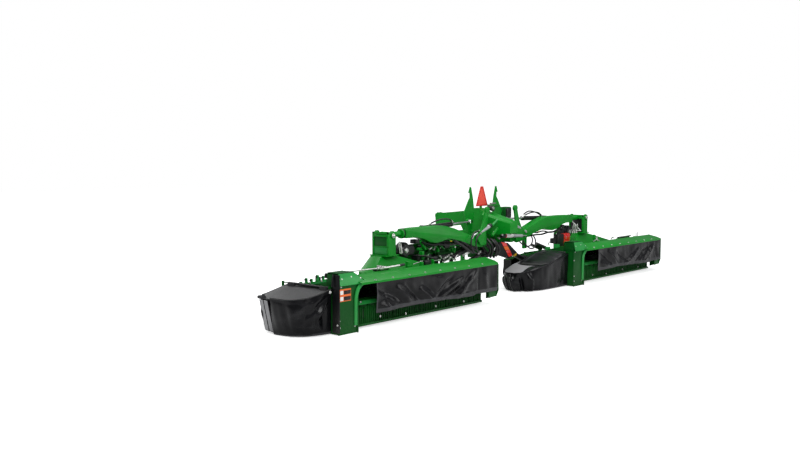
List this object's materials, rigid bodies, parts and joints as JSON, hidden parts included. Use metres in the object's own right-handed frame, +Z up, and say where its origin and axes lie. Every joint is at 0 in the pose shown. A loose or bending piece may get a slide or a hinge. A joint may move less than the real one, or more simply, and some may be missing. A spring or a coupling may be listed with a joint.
{
  "type": "twin-wing rear mounted disc mower conditioner",
  "caption": "Three-point mounted mower with two folding wings, each a wide disc cutterbar and tine conditioner under a hood with crop curtains.",
  "frame": {"origin": "on the ground, below the middle of the parked machine's box", "axes": "+X to the machine's right along both wings, +Y forward to the tractor, +Z up"},
  "size_m": [10.25, 2.3, 1.84],
  "materials": {
    "frame_green": "gloss",
    "panel_green": "gloss",
    "gearbox_green": "satin",
    "dark_steel": "satin",
    "chromed_rod": "polished",
    "bright_steel": "satin",
    "worn_steel": "worn",
    "shaft_guard": "matte",
    "deck_grey": "matte",
    "curtain_black": "coated",
    "signal_red": "matte"
  },
  "bodies": {
    "carrier": {"main_frame": "frame_green", "center_hood": "panel_green", "warning_triangle": "signal_red", "main_gearbox": "gearbox_green"},
    "input_shaft": {"input_shaft": "bright_steel"},
    "parking_stand": {"parking_stand": "frame_green"},
    "left_knuckle": {"left_knuckle": "frame_green"},
    "left_arm": {"left_arm": "frame_green", "left_drive_shaft": "shaft_guard"},
    "left_fold_barrel": {"left_fold_barrel": "dark_steel"},
    "left_fold_rod": {"left_fold_rod": "chromed_rod"},
    "left_arm_tube": {"left_arm_tube": "frame_green"},
    "left_unit": {"left_hanger": "frame_green", "left_spine_beam": "panel_green", "left_unit_frame": "panel_green", "left_unit_gearbox": "gearbox_green", "left_hood": "panel_green", "left_end_panel": "panel_green", "left_cutterbar": "dark_steel", "left_rear_curtain": "curtain_black"},
    "left_rotor": {"left_rotor": "dark_steel"},
    "left_disc_1": {"left_disc_1": "worn_steel"},
    "left_disc_2": {"left_disc_2": "worn_steel"},
    "left_disc_3": {"left_disc_3": "worn_steel"},
    "left_disc_4": {"left_disc_4": "worn_steel"},
    "left_disc_5": {"left_disc_5": "worn_steel"},
    "left_disc_6": {"left_disc_6": "worn_steel"},
    "left_disc_7": {"left_disc_7": "worn_steel"},
    "left_disc_8": {"left_disc_8": "worn_steel"},
    "left_front_guard": {"left_front_guard": "panel_green", "left_front_curtain": "curtain_black"},
    "left_side_guard": {"left_side_guard": "deck_grey", "left_side_curtain": "curtain_black"},
    "right_knuckle": {"right_knuckle": "frame_green"},
    "right_arm": {"right_arm": "frame_green", "right_drive_shaft": "shaft_guard"},
    "right_fold_barrel": {"right_fold_barrel": "dark_steel"},
    "right_fold_rod": {"right_fold_rod": "chromed_rod"},
    "right_arm_tube": {"right_arm_tube": "frame_green"},
    "right_unit": {"right_hanger": "frame_green", "right_spine_beam": "panel_green", "right_unit_frame": "panel_green", "right_unit_gearbox": "gearbox_green", "right_hood": "panel_green", "right_end_panel": "panel_green", "right_cutterbar": "dark_steel", "right_rear_curtain": "curtain_black"},
    "right_rotor": {"right_rotor": "dark_steel"},
    "right_disc_1": {"right_disc_1": "worn_steel"},
    "right_disc_2": {"right_disc_2": "worn_steel"},
    "right_disc_3": {"right_disc_3": "worn_steel"},
    "right_disc_4": {"right_disc_4": "worn_steel"},
    "right_disc_5": {"right_disc_5": "worn_steel"},
    "right_disc_6": {"right_disc_6": "worn_steel"},
    "right_disc_7": {"right_disc_7": "worn_steel"},
    "right_disc_8": {"right_disc_8": "worn_steel"},
    "right_front_guard": {"right_front_guard": "panel_green", "right_front_curtain": "curtain_black"},
    "right_side_guard": {"right_side_guard": "deck_grey", "right_side_curtain": "curtain_black"}
  },
  "joints": [
    {"name": "input_spin", "type": "hinge", "parent": "carrier", "child": "input_shaft", "pos_m": [0.275, 0.85, 0.73], "axis": [0, 1, 0], "continuous": true},
    {"name": "stand_fold", "type": "hinge", "parent": "carrier", "child": "parking_stand", "pos_m": [0.275, 0.35, 0.74], "axis": [1, 0, 0], "range_deg": [0, 90]},
    {"name": "left_breakaway", "type": "hinge", "parent": "carrier", "child": "left_knuckle", "pos_m": [-0.137, 0.03, 0.9], "axis": [0, 0, 1], "range_deg": [0, 12]},
    {"name": "left_fold", "type": "hinge", "parent": "left_knuckle", "child": "left_arm", "pos_m": [-0.275, -0.19, 0.9], "axis": [0, -1, 0], "range_deg": [-90, 6]},
    {"name": "left_cylinder_swing", "type": "hinge", "parent": "left_arm", "child": "left_fold_barrel", "pos_m": [-1.575, -0.035, 1.2], "axis": [0, -1, 0], "range_deg": [-18.8, 1.4]},
    {"name": "left_cylinder_stroke", "type": "slide", "parent": "left_fold_barrel", "child": "left_fold_rod", "axis": [0.9995, 0, 0.0305], "range_m": [-0.309, 0.022]},
    {"name": "left_side_shift", "type": "slide", "parent": "left_arm", "child": "left_arm_tube", "axis": [-1, 0, 0], "range_m": [-0.3, 0]},
    {"name": "left_pendulum", "type": "hinge", "parent": "left_arm_tube", "child": "left_unit", "pos_m": [-2.695, -0.19, 1.16], "axis": [0, -1, 0], "range_deg": [-7, 7], "deforming": ["left_drive_shaft"]},
    {"name": "left_rotor_spin", "type": "hinge", "parent": "left_unit", "child": "left_rotor", "pos_m": [-2.795, -0.39, 0.355], "axis": [1, 0, 0], "continuous": true},
    {"name": "left_disc_1_spin", "type": "hinge", "parent": "left_unit", "child": "left_disc_1", "pos_m": [-4.2825, 0.18, 0.15], "axis": [0, 0, 1], "continuous": true},
    {"name": "left_disc_2_spin", "type": "hinge", "parent": "left_unit", "child": "left_disc_2", "pos_m": [-3.8575, 0.18, 0.15], "axis": [0, 0, 1], "continuous": true},
    {"name": "left_disc_3_spin", "type": "hinge", "parent": "left_unit", "child": "left_disc_3", "pos_m": [-3.4325, 0.18, 0.15], "axis": [0, 0, 1], "continuous": true},
    {"name": "left_disc_4_spin", "type": "hinge", "parent": "left_unit", "child": "left_disc_4", "pos_m": [-3.0075, 0.18, 0.15], "axis": [0, 0, 1], "continuous": true},
    {"name": "left_disc_5_spin", "type": "hinge", "parent": "left_unit", "child": "left_disc_5", "pos_m": [-2.5825, 0.18, 0.15], "axis": [0, 0, 1], "continuous": true},
    {"name": "left_disc_6_spin", "type": "hinge", "parent": "left_unit", "child": "left_disc_6", "pos_m": [-2.1575, 0.18, 0.15], "axis": [0, 0, 1], "continuous": true},
    {"name": "left_disc_7_spin", "type": "hinge", "parent": "left_unit", "child": "left_disc_7", "pos_m": [-1.7325, 0.18, 0.15], "axis": [0, 0, 1], "continuous": true},
    {"name": "left_disc_8_spin", "type": "hinge", "parent": "left_unit", "child": "left_disc_8", "pos_m": [-1.3075, 0.18, 0.15], "axis": [0, 0, 1], "continuous": true},
    {"name": "left_front_guard_lift", "type": "hinge", "parent": "left_unit", "child": "left_front_guard", "pos_m": [-2.795, 0.002, 0.55], "axis": [1, 0, 0], "range_deg": [0, 60]},
    {"name": "left_side_guard_fold", "type": "hinge", "parent": "left_unit", "child": "left_side_guard", "pos_m": [-4.6, -0.55, 0.622], "axis": [0, -1, 0], "range_deg": [-90, 0]},
    {"name": "right_breakaway", "type": "hinge", "parent": "carrier", "child": "right_knuckle", "pos_m": [0.687, 0.03, 0.9], "axis": [0, 0, -1], "range_deg": [0, 12]},
    {"name": "right_fold", "type": "hinge", "parent": "right_knuckle", "child": "right_arm", "pos_m": [0.825, -0.19, 0.9], "axis": [0, 1, 0], "range_deg": [-90, 6]},
    {"name": "right_cylinder_swing", "type": "hinge", "parent": "right_arm", "child": "right_fold_barrel", "pos_m": [2.125, -0.035, 1.2], "axis": [0, 1, 0], "range_deg": [-18.8, 1.4]},
    {"name": "right_cylinder_stroke", "type": "slide", "parent": "right_fold_barrel", "child": "right_fold_rod", "axis": [-0.9995, 0, 0.0305], "range_m": [-0.309, 0.022]},
    {"name": "right_side_shift", "type": "slide", "parent": "right_arm", "child": "right_arm_tube", "axis": [1, 0, 0], "range_m": [-0.3, 0]},
    {"name": "right_pendulum", "type": "hinge", "parent": "right_arm_tube", "child": "right_unit", "pos_m": [3.245, -0.19, 1.16], "axis": [0, 1, 0], "range_deg": [-7, 7], "deforming": ["right_drive_shaft"]},
    {"name": "right_rotor_spin", "type": "hinge", "parent": "right_unit", "child": "right_rotor", "pos_m": [3.305, -0.39, 0.355], "axis": [1, 0, 0], "continuous": true},
    {"name": "right_disc_1_spin", "type": "hinge", "parent": "right_unit", "child": "right_disc_1", "pos_m": [1.8175, 0.18, 0.15], "axis": [0, 0, 1], "continuous": true},
    {"name": "right_disc_2_spin", "type": "hinge", "parent": "right_unit", "child": "right_disc_2", "pos_m": [2.2425, 0.18, 0.15], "axis": [0, 0, 1], "continuous": true},
    {"name": "right_disc_3_spin", "type": "hinge", "parent": "right_unit", "child": "right_disc_3", "pos_m": [2.6675, 0.18, 0.15], "axis": [0, 0, 1], "continuous": true},
    {"name": "right_disc_4_spin", "type": "hinge", "parent": "right_unit", "child": "right_disc_4", "pos_m": [3.0925, 0.18, 0.15], "axis": [0, 0, 1], "continuous": true},
    {"name": "right_disc_5_spin", "type": "hinge", "parent": "right_unit", "child": "right_disc_5", "pos_m": [3.5175, 0.18, 0.15], "axis": [0, 0, 1], "continuous": true},
    {"name": "right_disc_6_spin", "type": "hinge", "parent": "right_unit", "child": "right_disc_6", "pos_m": [3.9425, 0.18, 0.15], "axis": [0, 0, 1], "continuous": true},
    {"name": "right_disc_7_spin", "type": "hinge", "parent": "right_unit", "child": "right_disc_7", "pos_m": [4.3675, 0.18, 0.15], "axis": [0, 0, 1], "continuous": true},
    {"name": "right_disc_8_spin", "type": "hinge", "parent": "right_unit", "child": "right_disc_8", "pos_m": [4.7925, 0.18, 0.15], "axis": [0, 0, 1], "continuous": true},
    {"name": "right_front_guard_lift", "type": "hinge", "parent": "right_unit", "child": "right_front_guard", "pos_m": [3.305, 0.002, 0.55], "axis": [1, 0, 0], "range_deg": [0, 60]},
    {"name": "right_side_guard_fold", "type": "hinge", "parent": "right_unit", "child": "right_side_guard", "pos_m": [1.5, -0.55, 0.622], "axis": [0, 1, 0], "range_deg": [0, 90]}
  ],
  "couplings": [
    {"joint": "left_cylinder_swing", "follows": "left_fold", "ratio": 0.2062},
    {"joint": "left_cylinder_stroke", "follows": "left_fold", "m_per_rad": 0.19593},
    {"joint": "left_disc_1_spin", "follows": "left_rotor_spin", "ratio": 3},
    {"joint": "left_disc_2_spin", "follows": "left_rotor_spin", "ratio": -3},
    {"joint": "left_disc_3_spin", "follows": "left_rotor_spin", "ratio": 3},
    {"joint": "left_disc_4_spin", "follows": "left_rotor_spin", "ratio": -3},
    {"joint": "left_disc_5_spin", "follows": "left_rotor_spin", "ratio": 3},
    {"joint": "left_disc_6_spin", "follows": "left_rotor_spin", "ratio": -3},
    {"joint": "left_disc_7_spin", "follows": "left_rotor_spin", "ratio": 3},
    {"joint": "left_disc_8_spin", "follows": "left_rotor_spin", "ratio": -3},
    {"joint": "right_cylinder_swing", "follows": "right_fold", "ratio": 0.2062},
    {"joint": "right_cylinder_stroke", "follows": "right_fold", "m_per_rad": 0.19593},
    {"joint": "right_disc_1_spin", "follows": "right_rotor_spin", "ratio": 3},
    {"joint": "right_disc_2_spin", "follows": "right_rotor_spin", "ratio": -3},
    {"joint": "right_disc_3_spin", "follows": "right_rotor_spin", "ratio": 3},
    {"joint": "right_disc_4_spin", "follows": "right_rotor_spin", "ratio": -3},
    {"joint": "right_disc_5_spin", "follows": "right_rotor_spin", "ratio": 3},
    {"joint": "right_disc_6_spin", "follows": "right_rotor_spin", "ratio": -3},
    {"joint": "right_disc_7_spin", "follows": "right_rotor_spin", "ratio": 3},
    {"joint": "right_disc_8_spin", "follows": "right_rotor_spin", "ratio": -3}
  ]
}
